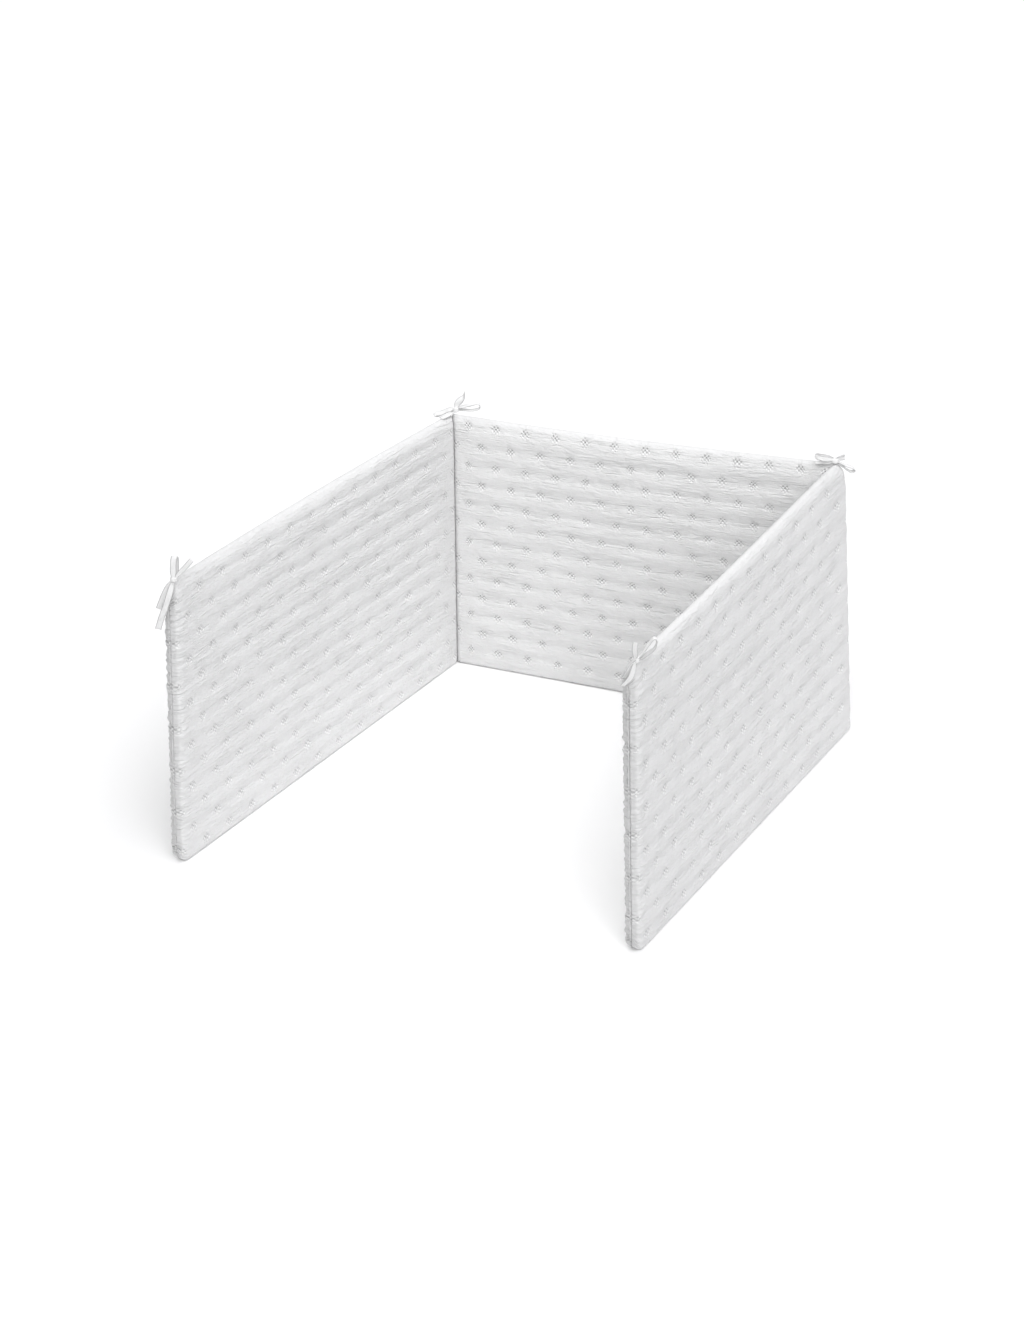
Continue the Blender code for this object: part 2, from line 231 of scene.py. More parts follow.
def rest_height(s, rim, column, row, length, seed):
    """Height of the unwrinkled cloth over its plain face: a pit at each tuft and a crease along each row."""
    step = 0.001
    shape = (int(length / step) + 4, int(GIRTH / step) + 4)
    drift = filtered_noise(shape, step, ((0.15, 0.040), (0.10, 0.030)), seed)
    drift = CREASE_DRIFT * sample(drift, step, s, rim)
    dx, dz = nearest_tuft(column, row)
    dx, dz = dx * TUFT_COLUMN, dz * TUFT_ROW
    off = (row - np.round(row + drift / TUFT_ROW)) * TUFT_ROW + drift
    pit = np.exp(-np.hypot(dx / PIT_ACROSS, dz / PIT_UP) ** 1.15)
    crease = 0.50 + 0.50 * np.exp(-np.abs(dx) / CREASE_ROUND_TUFT)
    crease = np.exp(-np.abs(off / CREASE_WIDTH) ** 1.7) * crease
    height = PILLOW_RISE - TUFT_DEPTH * pit - CREASE_DEPTH * crease
    return height, np.hypot(dx, dz) < TUFT_GRIP


def strain(points, first, second, rest, share, moved):
    """One pass of the cloth's threads towards their own length."""
    span = points[second] - points[first]
    length = np.sqrt((span * span).sum(-1))
    push = ((length - rest) / length * share)[..., None] * span
    moved[first] += push
    moved[second] -= push


def relax(s, rim, rest, held, amount, seed):
    """Lets a slightly oversize sheet of cloth buckle over the filling, held at its tufts and round its edge.

    Gives the moved length, the moved rim and the height over the plain face.
    """
    even = filtered_noise(s.shape, GRID, ((0.4, 0.05), (0.3, 0.03)), seed + 5)
    start = filtered_noise(s.shape, GRID, ((0.05, 0.015), (0.012, 0.005)), seed + 7)
    spare = np.clip(1 + 0.4 * even, 0, 3) * amount
    points = np.stack((s, rim, rest + START_RIPPLE * start * amount), -1).astype(np.float32)
    kept = points.copy()
    along = (np.diff(s, axis=0) * (1 + SPARE_ALONG * spare[1:])).astype(np.float32)
    up = (np.diff(rim, axis=1) * (1 + SPARE_UP * spare[:, 1:])).astype(np.float32)
    across = np.sqrt(along[:, 1:] ** 2 + up[1:] ** 2)
    every, last, rest32 = slice(1, None), slice(None, -1), rest.astype(np.float32)
    fixed = held | (amount < 0.02)
    fixed[:2] = fixed[-2:] = True
    fixed[:, :2] = fixed[:, -2:] = True
    full = slice(None)
    for _ in range(RELAX_STEPS):
        moved = np.zeros_like(points)
        strain(points, (last, full), (every, full), along, 0.5, moved)
        strain(points, (full, last), (full, every), up, 0.5, moved)
        strain(points, (last, last), (every, every), across, 0.2, moved)
        strain(points, (every, last), (last, every), across, 0.2, moved)
        points += moved * 0.45
        height = points[..., 2]
        bend = np.zeros_like(height)
        stiff = np.zeros_like(height)
        inner = (slice(1, -1), slice(1, -1))
        for source, result in ((height, bend), (bend, stiff)):
            result[inner] = (source[2:, 1:-1] + source[:-2, 1:-1] + source[1:-1, 2:]
                             + source[1:-1, :-2]) * 0.25 - source[inner]
        height -= BEND_STIFFNESS * 4 * stiff
        height += FILLING_STIFFNESS * (rest32 - height)
        points[fixed] = kept[fixed]
    return points[..., 0], points[..., 1], points[..., 2]


def panel(name, start, end, column_start, row_start, sag, seed):
    along, length = direction(start, end)
    out = np.array((-along[1], along[0]))
    s = spread(length, END_BAND, GRID, END_ROWS)
    lips = -LIP_STEP * np.arange(len(LIPS), 0, -1)
    if start in FREE_ENDS:
        s = np.concatenate((lips, s))
    if end in FREE_ENDS:
        s = np.concatenate((s, length - lips[::-1]))
    blunt_side = -math.copysign(1.0, out[0])
    rim = np.linspace(0.0, 1.0, int(GIRTH / GRID) + 1)[:-1] * GIRTH
    s, rim = np.meshgrid(s, rim, indexing="ij")
    z = section_at(rim)[1]
    column = s / TUFT_COLUMN - column_start
    row = z / TUFT_ROW - row_start
    rise_share = np.clip((z - (PANEL_HEIGHT - CREST_FADE)) / CREST_FADE, 0, 1)
    share = smoothstep((z - RISE_ABOVE_FOOT[0]) / RISE_ABOVE_FOOT[1]) * (1 - (1 - CREST_SHARE) * rise_share)
    fade = np.ones_like(s)
    for distance, post in ((s, start), (length - s, end)):
        fade *= smoothstep((distance + FADE_START) / (FRONT_FADE if post in FREE_ENDS else CORNER_FADE[name]))
    height, held = rest_height(s, rim, column, row, length, seed)
    free = np.minimum(s if start in FREE_ENDS else length, length - s if end in FREE_ENDS else length)
    calm = smoothstep((free - FRONT_CALM[0]) / FRONT_CALM[1])
    height = RELIEF[name] * height * (FRONT_SHARE[name] + (1 - FRONT_SHARE[name]) * calm)
    marks = np.stack((column * TUFT_COLUMN, row * TUFT_ROW), axis=-1)
    lip = np.maximum(-s, s - length)
    held = (held & (share * fade > 0.2)) | (lip > 0)
    s, rim, height = relax(s, rim, height * share * fade, held, share * fade, seed)
    tuck = np.interp(lip / LIP_STEP, range(len(LIPS) + 1), [0.0] + [depth for depth, _ in LIPS])
    flat = np.interp(lip / LIP_STEP, range(len(LIPS) + 1), [1.0] + [part for _, part in LIPS])
    t, z, nt, nz = section_at(rim)
    pinch = filtered_noise(s.shape, GRID, ((0.10, 0.020), (0.020, 0.006)), seed + 9)
    depth = -height
    face = np.zeros_like(s)
    corner = np.zeros_like(s)
    border = np.full_like(s, 1.0)
    for distance, post in ((s, start), (length - s, end)):
        if post in FREE_ENDS:
            reach = np.where(t * blunt_side > 0, BLUNT_REACH, FRONT_REACH)
            here = (lip > 0) & (distance < 0.1)
            face += np.where(here, FRONT_INSET + (HALF - FRONT_INSET) * (1 - flat),
                             round_inset(distance, reach, FRONT_INSET))
            near = np.exp(-(np.maximum(distance, 0) / PINCH_REACH) ** 1.5)
            depth += PINCH_DEPTH * pinch * near * share * (lip <= 0)
            corner += round_inset(distance, FRONT_CORNER_RADIUS, FRONT_CORNER_RADIUS)
            border = np.minimum(border, np.maximum(distance, 0))
        else:
            radius = np.where(t > 0, MITRE_OUTER_RADIUS, MITRE_INNER_RADIUS)
            face += round_inset(distance, radius, radius)
            corner += round_inset(distance, MITRE_CORNER_RADIUS, MITRE_CORNER_RADIUS)
    face += SHOULDER_DRAW * np.clip((z - PANEL_HEIGHT) / SHOULDER_REACH + 1.0, 0, 1) ** 2
    across = t - nt * depth - face * t / HALF
    up = z - nz * depth
    level = 2.0 * up / PANEL_HEIGHT - 1.0
    up = up - np.sign(level) * np.abs(level) ** CORNER_POWER * corner
    u = s / length
    blend = post_blend(u, start, end)
    lean_x = POSTS[start][2] * (1 - blend) + POSTS[end][2] * blend
    lean_y = POSTS[start][3] * (1 - blend) + POSTS[end][3] * blend
    crest = POSTS[start][4] * (1 - blend) + POSTS[end][4] * blend - sag * 4 * u * (1 - u)
    up = up * crest / PANEL_HEIGHT
    shift = np.zeros_like(s)
    for distance, post, sign, edge in (
        (s, start, 1, round(-column_start)),
        (length - s, end, -1, round(length / TUFT_COLUMN - column_start)),
    ):
        if post in FREE_ENDS:
            shift += np.where((lip > 0) & (distance < 0.1), sign * (tuck - distance), 0.0)
            near = np.clip(1 - distance / FRONT_REACH, 0, 1)
            pull = 0.5 * (1 + math.cos(math.pi * edge) * np.cos(np.pi * row))
            shift += sign * FRONT_NOTCH * share * near * pull ** 2 * (1 - np.minimum(np.abs(t) / HALF, 1)) ** 2
            shift += sign * LIP_PUCKER * np.sin(2 * math.pi * z / LIP_PITCH) * near ** 3 * share
        else:
            gone = 1 - smoothstep(distance / MITRE_FADE)
            shift += sign * (MITRE_GAP - across * SLOPES[post]) * gone
    rise = up / PANEL_HEIGHT
    along_line = s + shift + (lean_x * along[0] + lean_y * along[1]) * rise
    out_line = across + (lean_x * out[0] + lean_y * out[1]) * rise
    foot = post_xy(start)
    x = foot[0] + along[0] * along_line + out[0] * out_line
    y = foot[1] + along[1] * along_line + out[1] * out_line
    return make_tube(name + "_cloth", np.stack((x, y, up), axis=-1),
                     {"lattice": marks, "edge": np.stack((border, rim), axis=-1)})


def make_tube(name, points, marks):
    """A closed mesh from a grid of points that wraps round on its second axis, with both ends capped."""
    rows, count = points.shape[:2]
    index = np.arange(rows * count).reshape(rows, count)
    follow = np.roll(index, -1, axis=1)
    quads = np.stack((index[:-1], follow[:-1], follow[1:], index[1:]), axis=-1).reshape(-1, 4)
    caps = []
    for ring, turned in ((index[0], 1), (index[-1], -1)):
        for k in range(1, (count + 1) // 2):
            cap = dict.fromkeys(int(v) for v in (ring[k - 1], ring[-k], ring[-k - 1], ring[k]))
            caps.append(list(cap)[::turned])
    mesh = bpy.data.meshes.new(name)
    mesh.from_pydata(points.reshape(-1, 3).tolist(), [], quads.tolist() + caps)
    mesh.update()
    mesh.shade_smooth()
    loops = np.empty(len(mesh.loops), np.int32)
    mesh.loops.foreach_get("vertex_index", loops)
    for key, values in marks.items():
        layer = mesh.uv_layers.new(name=key)
        layer.data.foreach_set("uv", values.reshape(-1, 2)[loops].astype(np.float32).ravel())
    made = bpy.data.objects.new(name, mesh)
    bpy.context.scene.collection.objects.link(made)
    return made


# ---------------------------------------------------------------- materials
class Nodes:
    """Short calls for building one material's node tree."""

    def __init__(self, name):
        self.material = bpy.data.materials.new(name)
        self.material.use_nodes = True
        self.tree = self.material.node_tree
        self.shader = self.tree.nodes["Principled BSDF"]

    def add(self, kind, **values):
        node = self.tree.nodes.new(kind)
        for key, value in values.items():
            setattr(node, key, value)
        return node

    def link(self, value, socket):
        if isinstance(value, bpy.types.NodeSocket):
            self.tree.links.new(value, socket)
        else:
            socket.default_value = value

    def math(self, operation, a, b=0.0):
        node = self.add("ShaderNodeMath", operation=operation)
        for value, socket in zip((a, b), node.inputs):
            self.link(value, socket)
        return node.outputs[0]

    def ramp(self, value, low, high, to_low=0.0, to_high=1.0):
        node = self.add("ShaderNodeMapRange", interpolation_type="SMOOTHSTEP")
        for number, item in enumerate((value, low, high, to_low, to_high)):
            self.link(item, node.inputs[number])
        return node.outputs[0]

    def noise(self, vector, scale, detail=2.0, rough=0.5, distortion=0.0):
        node = self.add("ShaderNodeTexNoise")
        self.link(vector, node.inputs["Vector"])
        values = {"Scale": scale, "Detail": detail, "Roughness": rough, "Distortion": distortion}
        for key, value in values.items():
            node.inputs[key].default_value = value
        return node.outputs["Fac"]

    def split(self, vector):
        node = self.add("ShaderNodeSeparateXYZ")
        self.link(vector, node.inputs[0])
        return node.outputs

    def distance(self, a, b):
        return self.math("SQRT", self.math("ADD", self.math("POWER", a, 2.0), self.math("POWER", b, 2.0)))

    def wave(self, value, pitch):
        return self.math("SINE", self.math("MULTIPLY", value, 2 * math.pi / pitch))

    def uv(self, layer):
        return self.add("ShaderNodeUVMap", uv_map=layer).outputs[0]

    def mapping(self, vector, scale):
        node = self.add("ShaderNodeMapping")
        self.link(vector, node.inputs["Vector"])
        node.inputs["Scale"].default_value = scale
        return node.outputs[0]

    def bump(self, height):
        node = self.add("ShaderNodeBump")
        node.inputs["Strength"].default_value = 1.0
        node.inputs["Distance"].default_value = 1.0
        self.link(height, node.inputs["Height"])
        self.link(node.outputs[0], self.shader.inputs["Normal"])

    def surface(self, shade, tone, rough, **values):
        """Paints tone times shade, and sets roughness and the shader's other values."""
        color = self.add("ShaderNodeCombineColor")
        for number, part in enumerate(tone):
            self.link(self.math("MULTIPLY", shade, part), color.inputs[number])
        self.link(color.outputs[0], self.shader.inputs["Base Color"])
        self.link(rough, self.shader.inputs["Roughness"])
        for key, value in values.items():
            self.shader.inputs[key.replace("_", " ")].default_value = value
        return self.material


# one tuft: needle pricks, and the thread between them, each as a place across and up from the middle, in steps
# of TUFT_UNIT, and a strength
PRICKS = (
    (-2.1, 2.6, 1.0), (2.1, 2.5, 0.9), (0.0, 4.7, 0.45), (-4.1, 0.4, 0.55),
    (0.0, 0.4, 1.0), (4.1, 0.4, 0.55), (-2.0, -2.0, 0.45), (2.1, -1.9, 0.45),
)
THREADS = (
    (0.0, 2.5, 0.30), (-2.0, 0.3, 0.8), (2.1, 0.2, 0.8), (0.0, -2.0, 1.0), (-4.1, -1.9, 0.9),
    (4.2, -2.0, 0.9), (-2.0, -4.2, 0.9), (2.1, -4.2, 0.9), (0.0, -6.2, 0.5), (-4.1, 2.6, 0.3),
)
TUFT_UNIT = (0.00135, 0.00125)
PRICK_CORE = (0.0004, 0.00168)
PRICK_CONE = (0.0, 0.0023)
THREAD = (0.0004, 0.0021)
WEAVE_PITCH = 0.00075
TWILL_PITCH = 0.0009
# share of the colour kept at the very top of the crest: painted shade
CREST_PAINTED_SHADE = 0.955


def quilted_cloth(name, tone, prick_painted_shade, thread_tone_and_painted_highlight):
    n = Nodes(name)
    uv = n.uv("lattice")
    along, up, _ = n.split(uv)
    column = n.math("DIVIDE", along, TUFT_COLUMN)
    row = n.math("DIVIDE", up, TUFT_ROW)
    p = n.math("MULTIPLY", n.math("ADD", column, row), 0.5)
    q = n.math("MULTIPLY", n.math("SUBTRACT", column, row), 0.5)
    dp = n.math("SUBTRACT", p, n.math("ROUND", p))
    dq = n.math("SUBTRACT", q, n.math("ROUND", q))
    dx = n.math("MULTIPLY", n.math("ADD", dp, dq), TUFT_COLUMN)
    dz = n.math("MULTIPLY", n.math("SUBTRACT", dp, dq), TUFT_ROW)
    wobble = n.noise(uv, 60.0, 1.0)
    dx = n.math("ADD", dx, n.math("MULTIPLY", n.math("SUBTRACT", wobble, 0.5), 0.004))

    def spots(places, low, high):
        most = None
        for a, b, strength in places:
            gap = n.distance(n.math("SUBTRACT", dx, a * TUFT_UNIT[0]), n.math("SUBTRACT", dz, b * TUFT_UNIT[1]))
            near = n.ramp(gap, low, high, strength, 0.0)
            most = near if most is None else n.math("MAXIMUM", most, near)
        return most

    cores = spots(PRICKS, *PRICK_CORE)
    cones = spots(PRICKS, *PRICK_CONE)
    threads = spots(THREADS, *THREAD)
    gap = n.distance(dx, dz)
    turn = n.add("ShaderNodeCombineXYZ")
    n.link(n.math("DIVIDE", dx, n.math("ADD", gap, 0.0003)), turn.inputs[0])
    n.link(n.math("DIVIDE", dz, n.math("ADD", gap, 0.0003)), turn.inputs[1])
    tuft = n.math("MULTIPLY", n.math("ROUND", p), 3.7)
    tuft = n.math("ADD", tuft, n.math("MULTIPLY", n.math("ROUND", q), 5.3))
    n.link(tuft, turn.inputs[2])
    pleats = n.noise(turn.outputs[0], 2.4, 2.0, 0.6)
    window = n.math("MULTIPLY", n.ramp(gap, 0.002, 0.005), n.ramp(gap, 0.006, 0.015, 1.0, 0.0))
    pleats = n.math("MULTIPLY", n.math("SUBTRACT", pleats, 0.5), window)
    ripples = n.noise(n.mapping(uv, (30.0, 250.0, 1.0)), 1.0, 3.0, 0.6, 0.7)
    slack = n.ramp(n.noise(n.mapping(uv, (14.0, 22.0, 1.0)), 1.0, 1.0), 0.35, 0.65, 0.45, 1.25)
    crinkle = n.noise(n.mapping(uv, (150.0, 480.0, 1.0)), 1.0, 2.0, 0.5, 0.4)
    side = n.uv("edge")
    from_end, rim, _ = n.split(side)
    near_end = n.ramp(from_end, 0.006, 0.034, 1.0, 0.0)
    gathers = n.noise(n.mapping(side, (22.0, 210.0, 1.0)), 1.0, 2.0, 0.55, 0.5)
    weave = n.math("MULTIPLY", n.wave(along, WEAVE_PITCH), n.wave(up, WEAVE_PITCH))
    height = n.math("MULTIPLY", ripples, n.math("SUBTRACT", 0.0026, n.math("MULTIPLY", near_end, 0.0014)))
    height = n.math("MULTIPLY", height, slack)
    gathers = n.math("MULTIPLY", gathers, near_end)
    for part, amount in ((gathers, 0.0034), (crinkle, 0.0015), (pleats, 0.0018), (cones, -0.0010),
                         (threads, 0.0009), (weave, 0.00002)):
        height = n.math("ADD", height, n.math("MULTIPLY", part, amount))
    n.bump(height)
    patch = n.noise(n.mapping(uv, (9.0, 14.0, 1.0)), 1.0, 2.0)
    shade = n.ramp(patch, 0.2, 0.8, 0.975, 1.0)
    # painted shade: each needle prick is painted darker at its middle
    shade = n.math("MULTIPLY", shade, n.math("SUBTRACT", 1.0, n.math("MULTIPLY", cores, prick_painted_shade)))
    # partly thread, partly painted highlight: the thread spots, most of them below each tuft's middle, are
    # painted lighter
    shade = n.math("MULTIPLY", shade, n.math("ADD", 1.0, n.math("MULTIPLY", threads, thread_tone_and_painted_highlight)))
    # painted shade: the cloth is painted 11% darker on the front ends' lips, within about 4 mm of the free end
    shade = n.math("MULTIPLY", shade, n.ramp(from_end, 0.0010, 0.0040, 0.89, 1.0))
    # painted shade: the top of the crest is painted up to 4.5% darker, toning down the light it catches
    from_crest = n.math("ABSOLUTE", n.math("SUBTRACT", rim, GIRTH / 2))
    shade = n.math("MULTIPLY", shade, n.ramp(from_crest, 0.002, 0.018, CREST_PAINTED_SHADE, 1.0))
    return n.surface(shade, tone, n.ramp(crinkle, 0.2, 0.8, 0.82, 0.95),
                     Sheen_Weight=0.05, Sheen_Roughness=0.5, Specular_IOR_Level=0.25)


def plain_cloth(name, tone, edge_painted_shade=False):
    """Tape and seam cloth: a fine twill with a little wear, and on tape painted shade along each edge."""
    n = Nodes(name)
    place = n.add("ShaderNodeTexCoord").outputs["Object"]
    x, y, z = n.split(place)
    twill = n.wave(n.math("ADD", n.math("ADD", x, y), z), TWILL_PITCH)
    soft = n.noise(place, 420.0, 3.0)
    height = n.math("ADD", n.math("MULTIPLY", twill, 0.00003), n.math("MULTIPLY", soft, 0.0004))
    n.bump(height)
    shade = n.ramp(n.noise(place, 90.0, 2.0), 0.25, 0.75, 0.96, 1.0)
    if edge_painted_shade:
        # painted shade: the tape is painted up to a third darker along each edge
        across = n.split(n.uv("tape"))[0]
        shade = n.math("MULTIPLY", shade, n.ramp(n.math("ABSOLUTE", across), 0.62, 0.88, 1.0, 0.66))
    return n.surface(shade, tone, n.ramp(soft, 0.2, 0.8, 0.7, 0.88), Sheen_Weight=0.15, Specular_IOR_Level=0.3)


def dress(piece, material):
    piece.data.materials.clear()
    piece.data.materials.append(material)


# ---------------------------------------------------------------- ribbon bows
TIE_TURN = math.radians(21.4)
RIBBON_WIDTH = 0.0090
RIBBON_THICKNESS = 0.0010
RIBBON_STEPS = 8
RIBBON_COLUMNS = 9
KNOT_RADII = (0.0046, 0.0041, 0.0041)

# post, knot (across, up, away), ribbons: reference of the width, share of the full width, then points
# (across, up, away, turn in degrees), all in millimetres from the top of the post
TIES = {
    "tie_back_left": ("back_left", (6.2, 6.0, 1.5), (
        ("away", 0.8, (5.6, 5.6, 1.3, 0), (15, 5.0, 1, 0), (28, 4.7, 0, 0), (37.0, 6.6, 0, 0),
         (39.6, 11.0, 0, 0), (36.0, 14.6, 0, 0), (27.0, 13.6, 0, -8), (15, 9.8, 1, -8),
         (5.4, 7.9, 1.7, 0)),
        ("away", 1.0, (7.2, 7.4, 1.9, 0), (-3, 5.4, 2, -15), (-13, 0.6, 3, -25), (-21, -1.2, 4, -20),
         (-24.2, -3.8, 4, -10), (-20, -4.9, 4, -10), (-12, -1.6, 3, -20), (-3, 3.2, 2, -10),
         (6.8, 5.3, 1.4, 0)),
        ("away", 1.0, (6.0, 6.2, 1.1, 90), (8.2, 14.5, 1, 80), (12.5, 20.3, 0, 60),
         (17.3, 25.0, 0, 20), (19.3, 32.0, 0, 0)),
        ("away", 1.0, (6.5, 4.6, 1.6, 0), (-1.0, 2.8, -4.5, 0), (-7.5, 2.2, -11.0, 0),
         (-13.2, 2.2, -18.5, 0)),
    )),
    "tie_back_right": ("back_right", (-2.5, 5.2, -1.0), (
        ("up", 0.75, (-1.9, 6.0, -1.5, 0), (-12, 8.0, -3.0, 10), (-21, 10.0, -2.6, 10),
         (-27.2, 11.2, -0.5, 5), (-28.4, 11.3, 2.0, 0), (-24, 10.6, 3.6, -5), (-12, 8.4, 2.6, -5),
         (-1.7, 6.2, 0.5, 0)),
        ("away", 0.7, (-2.1, 3.8, -1.3, 0), (-10, 2.9, -1, -20), (-19, 2.7, 0, -20), (-28.4, 2.6, 0, -20)),
        ("up", 0.75, (-2.9, 7.2, -1.6, 0), (3.0, 9.0, -2.6, 10), (7.8, 9.4, -1.6, 10),
         (9.8, 9.0, 1.0, 0), (7.0, 8.4, 2.6, -5), (-1.2, 7.0, 0.5, 0)),
        ("away", 0.75, (-2.7, 4.6, -0.7, 0), (4.5, 2.8, -3, 8), (12.0, -0.6, -4, 8),
         (18.8, -3.6, -4, 5), (23.4, -7.4, -4, 0), (19.0, -9.8, -4, -5), (12.6, -6.2, -4, -8),
         (5.0, -0.4, -3, -5), (-2.2, 2.3, -1.1, 0)),
    )),
    "tie_front_left": ("front_left", (7.0, 6.4, -2.0), (
        ("across", 0.85, (6.7, 5.6, -3.6, 0), (7.4, 16, -3.4, 10), (8.4, 27, -3, 15),
         (9.6, 34.0, -1.0, 15), (10.6, 35.6, 2.0, 10), (11.0, 32.0, 5.0, 5), (10.4, 22, 5, 5),
         (9.2, 13, 3, 0), (7.6, 4.6, 0.6, 0)),
        ("away", 0.7, (7.9, 7.9, -1.7, 60), (13.5, 12.4, -1, 60), (21.5, 20.4, 0, 60),
         (31.0, 31.0, 0, 65)),
        ("away", 0.85, (7.5, 6.0, -1.2, 80), (0.5, -1.5, -6.4, 85), (-6.2, -14, -7.4, 90),
         (-13.8, -32, -6.6, 90)),
        ("away", 0.85, (6.2, 4.4, -2.0, 75), (1.6, -9.0, -9.8, 80), (-5.4, -28.0, -10.9, 85),
         (-11.5, -43.0, -9.6, 88), (-17.2, -59.5, -8.6, 88)),
    )),
    "tie_front_right": ("front_right", (8.6, 4.6, 7.0), (
        ("away", 1.0, (8.9, 5.3, 6.8, 0), (15.5, 10.5, 9, 0), (23.4, 20.0, 14, 0),
         (29.6, 26.4, 18, 0), (33.4, 24.4, 18, 0), (31.4, 16.6, 16, 0), (24.6, 11.4, 12, 0),
         (16.4, 6.6, 9, 0), (8.2, 3.1, 7.2, 0)),
        ("away", 0.72, (8.5, 5.0, 6.9, 90), (7.8, 13.0, 4, 90), (7.0, 23.0, 1, 90),
         (7.8, 33.0, -2, 85)),
        ("away", 1.0, (9.2, 4.8, 7.5, 60), (4.4, 3.4, -2.0, 60), (0.4, -1.0, -6.0, 60),
         (-6.4, -11.6, -7.0, 60)),
        ("away", 1.0, (7.9, 3.7, 6.4, 60), (5.6, 0.2, -5.0, 60), (1.4, -9.0, -9.6, 60),
         (-7.4, -19.2, -10.0, 60)),
    )),
}
REFERENCES = dict(zip(("across", "away", "up"), np.eye(3)))


def tie_place(post):
    x, y = post_xy(post)
    lean_x, lean_y, crest = POSTS[post][2:5]
    share = crest / PANEL_HEIGHT
    top = Matrix.Translation((x + lean_x * share, y + lean_y * share, crest))
    return top @ Matrix.Rotation(TIE_TURN, 4, "Z")


def centre_line(points):
    """A smooth curve through (across, up, away, turn) points, as (across, away, up) in metres and turns."""
    rows = np.array([(p[0], p[2], p[1]) for p in points], float) * 0.001
    turns = np.radians([p[3] for p in points])
    rows = np.vstack((2 * rows[0] - rows[1], rows, 2 * rows[-1] - rows[-2]))
    places, angles = [], []
    for i in range(len(points) - 1):
        a, b, c, d = rows[i:i + 4]
        for k in range(RIBBON_STEPS):
            u = k / RIBBON_STEPS
            places.append(0.5 * (2 * b + (c - a) * u + (2 * a - 5 * b + 4 * c - d) * u ** 2
                                 + (3 * b - a - 3 * c + d) * u ** 3))
            angles.append(turns[i] * (1 - u) + turns[i + 1] * u)
    places.append(rows[-2])
    angles.append(turns[-1])
    return np.array(places), np.array(angles)


def ribbon_grid(reference, share, points, seed):
    """Rings of points round a soft flat ribbon: thicker hems at its edges, a slight cup and gathered towards
    its knot.
    """
    places, angles = centre_line(points)
    kept = REFERENCES[reference]
    ahead = np.roll(places, -1, axis=0)
    behind = np.roll(places, 1, axis=0)
    ahead[-1], behind[0] = places[-1], places[0]
    along = ahead - behind
    along /= np.linalg.norm(along, axis=1)[:, None]
    width = kept - along * (along @ kept)[:, None]
    width /= np.linalg.norm(width, axis=1)[:, None]
    face = np.cross(along, width)
    c, s = np.cos(angles)[:, None], np.sin(angles)[:, None]
    wide = width * c + face * s
    thin = face * c - width * s
    run = np.concatenate(([0.0], np.cumsum(np.linalg.norm(np.diff(places, axis=0), axis=1))))
    closed = np.linalg.norm(places[0] - places[-1]) < 0.006
    from_knot = np.minimum(run, run[-1] - run) if closed else run
    gather = 0.55 + 0.45 * smoothstep(from_knot / 0.012)
    rng = np.random.default_rng(seed)
    phase = rng.uniform(0, 6.28, 3)
    ripple = 0.0004 * np.sin(run / 0.0035 + phase[0]) * smoothstep(from_knot / 0.006)
    cup = 0.0010 * (1.2 - gather) + 0.0005 * np.sin(run / 0.006 + phase[1])
    steps = np.linspace(-1, 1, RIBBON_COLUMNS)
    hem = 0.5 + 0.5 * smoothstep((np.abs(steps) - 0.70) / 0.12)
    rounded = np.where(np.abs(steps) > 0.99, 0.25, 1.0)
    half = RIBBON_THICKNESS / 2 * (0.55 + 0.45 * hem) * rounded
    ring = [(w, h) for w, h in zip(steps, half)] + [(w, -h) for w, h in zip(steps[::-1], half[::-1])]
    grid = np.empty((len(places), len(ring), 3))
    for k, (w, h) in enumerate(ring):
        lift = cup * (w * w - 0.4) + ripple * math.sin(2.3 * w + phase[2])
        reach = w * gather * share * RIBBON_WIDTH / 2
        grid[:, k] = places + wide * reach[:, None] + thin * (h + lift)[:, None]
    across = np.broadcast_to([w for w, _ in ring], grid.shape[:2])
    return grid, np.stack((across, np.broadcast_to(run[:, None], across.shape)), axis=-1)


def knot_grid(centre, seed):
    """A tight knot: a lump wrapped by a gathered turn of the same ribbon."""
    across, up, away = np.array(centre) * 0.001
    rng = np.random.default_rng(seed)
    phase = rng.uniform(0, 6.28, 2)
    tilt = np.linspace(-math.pi / 2 + 0.05, math.pi / 2 - 0.05, 22)
    turn = np.linspace(0, 2 * math.pi, 33)[:-1]
    tilt, turn = np.meshgrid(tilt, turn, indexing="ij")
    fold = 1 + 0.07 * np.sin(7 * tilt + 1.5 * np.sin(turn) + phase[0])
    fold += 0.03 * np.sin(11 * tilt - turn + phase[1])
    x = across + KNOT_RADII[0] * np.cos(tilt) * np.cos(turn) * fold
    y = away + KNOT_RADII[1] * np.cos(tilt) * np.sin(turn) * fold
    z = up + KNOT_RADII[2] * np.sin(tilt) * fold
    return np.stack((x, y, z), axis=-1), np.zeros(x.shape + (2,))


def join(pieces, name):
    bpy.ops.object.select_all(action="DESELECT")
    for piece in pieces:
        piece.select_set(True)
    bpy.context.view_layer.objects.active = pieces[0]
    bpy.ops.object.join()
    pieces[0].name = name
    return pieces[0]


def bow(name, post, centre, ribbons, material):
    place = tie_place(post)
    turn = np.array(place.to_3x3())
    move = np.array(place.translation)
    parts = []
    grids = [knot_grid(centre, len(name))]
    grids += [ribbon_grid(reference, share, points, 7 * k + len(name))
              for k, (reference, share, *points) in enumerate(ribbons)]
    for k, (grid, marks) in enumerate(grids):
        parts.append(make_tube(f"{name}_part_{k}", grid @ turn.T + move, {"tape": marks}))
    made = join(parts, name + "_bow")
    dress(made, material)
    return made


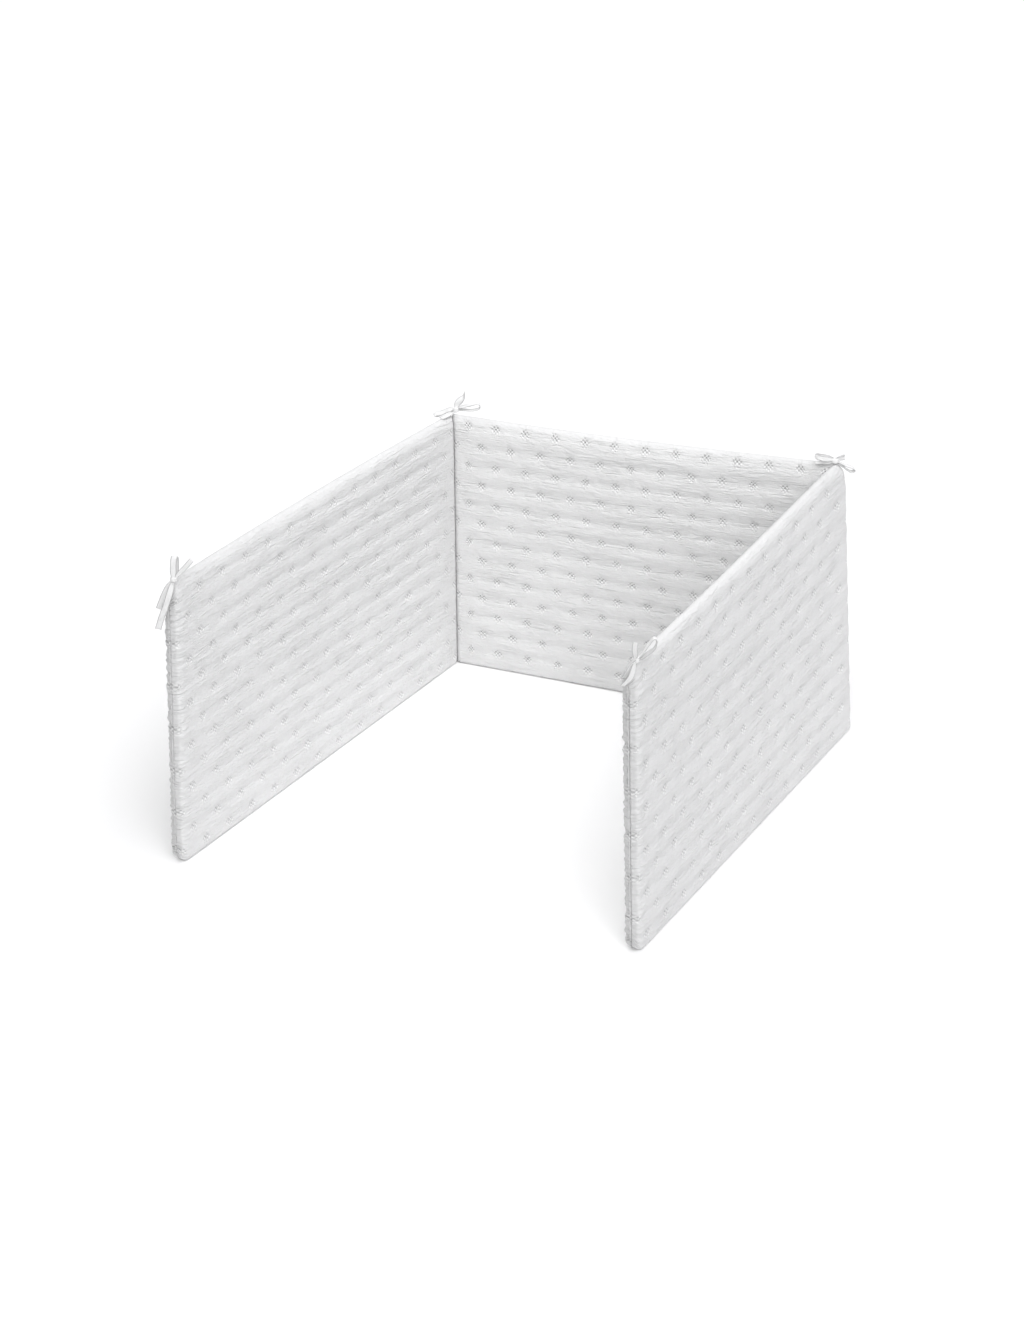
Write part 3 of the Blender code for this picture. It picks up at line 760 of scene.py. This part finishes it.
# ---------------------------------------------------------------- stage
TARGET = Vector((-0.0040, -0.0302, 0.2178))
DISTANCE = 3.1585
AZIMUTH = math.radians(21.414)
ELEVATION = math.radians(31.791)
ROLL = math.radians(-1.2655)
LENS = 66.6285
FLOOR_REACH = 12.0
FLOOR_DROP = 0.0005


def add_camera():
    right = Vector((math.cos(AZIMUTH), math.sin(AZIMUTH), 0))
    up = Vector((-math.sin(AZIMUTH) * math.sin(ELEVATION), math.cos(AZIMUTH) * math.sin(ELEVATION),
                 math.cos(ELEVATION)))
    back = Vector((math.sin(AZIMUTH) * math.cos(ELEVATION), -math.cos(AZIMUTH) * math.cos(ELEVATION),
                   math.sin(ELEVATION)))
    x = right * math.cos(ROLL) + up * math.sin(ROLL)
    y = up * math.cos(ROLL) - right * math.sin(ROLL)
    made = bpy.data.objects.new("camera", bpy.data.cameras.new("camera"))
    matrix = Matrix((x, y, back)).transposed().to_4x4()
    matrix.translation = TARGET + back * DISTANCE
    made.matrix_world = matrix
    made.data.lens = LENS
    made.data.sensor_width = 36.0
    made.data.clip_end = 50.0
    bpy.context.scene.collection.objects.link(made)
    bpy.context.scene.camera = made


def add_floor():
    mesh = bpy.data.meshes.new("floor")
    corners = ((-1, -1), (1, -1), (1, 1), (-1, 1))
    mesh.from_pydata([(FLOOR_REACH * x, FLOOR_REACH * y, 0) for x, y in corners], [], [(0, 1, 2, 3)])
    made = bpy.data.objects.new("floor", mesh)
    made.location = (0, 0, -FLOOR_DROP)
    bpy.context.scene.collection.objects.link(made)
    paper = bpy.data.materials.new("paper")
    paper.use_nodes = True
    shader = paper.node_tree.nodes["Principled BSDF"]
    shader.inputs["Base Color"].default_value = (0.97, 0.97, 0.97, 1)
    shader.inputs["Roughness"].default_value = 1.0
    shader.inputs["Specular IOR Level"].default_value = 0.0
    mesh.materials.append(paper)


def add_sun(name, azimuth, elevation, spread_angle, strength, color=(1.0, 1.0, 1.0)):
    """A broad soft light; azimuth is measured from -Y towards +X."""
    light = bpy.data.lights.new(name, "SUN")
    light.angle = math.radians(spread_angle)
    light.energy = strength
    light.color = color
    made = bpy.data.objects.new(name, light)
    a, e = math.radians(azimuth), math.radians(elevation)
    towards = Vector((math.sin(a) * math.cos(e), -math.cos(a) * math.cos(e), math.sin(e)))
    made.rotation_euler = towards.to_track_quat("Z", "Y").to_euler()
    bpy.context.scene.collection.objects.link(made)


def add_softbox(place, target, size, power):
    """A round softbox over the middle of the object, outside every view of it."""
    light = bpy.data.lights.new("softbox", "AREA")
    light.shape = "DISK"
    light.size = size
    light.energy = power
    made = bpy.data.objects.new("softbox", light)
    made.location = place
    made.rotation_euler = (Vector(place) - Vector(target)).to_track_quat("Z", "Y").to_euler()
    made.visible_camera = False
    bpy.context.scene.collection.objects.link(made)


def add_light():
    world = bpy.data.worlds.new("studio")
    world.use_nodes = True
    background = world.node_tree.nodes["Background"]
    background.inputs["Color"].default_value = (0.985, 0.99, 1.0, 1)
    background.inputs["Strength"].default_value = 0.33
    bpy.context.scene.world = world
    add_sun("key", 28, 55, 60, 1.44)
    add_sun("low", 30, 35, 50, 0.42)
    add_sun("side", 90, 58, 50, 0.65, (0.965, 0.955, 1.0))
    add_sun("back", 210, 55, 60, 0.54)
    add_softbox((0.05, -0.03, 1.0), (0.03, 0.28, 0.22), 0.4, 1.55)
    bpy.context.scene.view_settings.view_transform = "Standard"


def main():
    add_camera()
    add_floor()
    add_light()
    # the sides' and the back's quilted cloths differ in tone and in how strongly prick shade and thread
    # highlight are painted on
    side_quilt = quilted_cloth("quilted_cotton_sides", (0.735, 0.735, 0.735), 0.30, 0.28)
    back_quilt = quilted_cloth("quilted_cotton_back", (0.74, 0.74, 0.74), 0.47, 0.26)
    fold = plain_cloth("seam_cotton", (0.81, 0.81, 0.806))
    tape = plain_cloth("ribbon_cotton", (0.80, 0.80, 0.798), edge_painted_shade=True)
    for row in PANELS:
        piece = panel(*row)
        dress(piece, back_quilt if row[0] == "panel_back" else side_quilt)
        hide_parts(row[0])
        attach(piece, "root")
    for node in ("seam_back_left", "seam_back_right"):
        dress(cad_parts[node], fold)
    for number, (name, (post, centre, ribbons)) in enumerate(TIES.items()):
        piece = bow(name, post, centre, ribbons, tape)
        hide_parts(name)
        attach(piece, "root")


main()
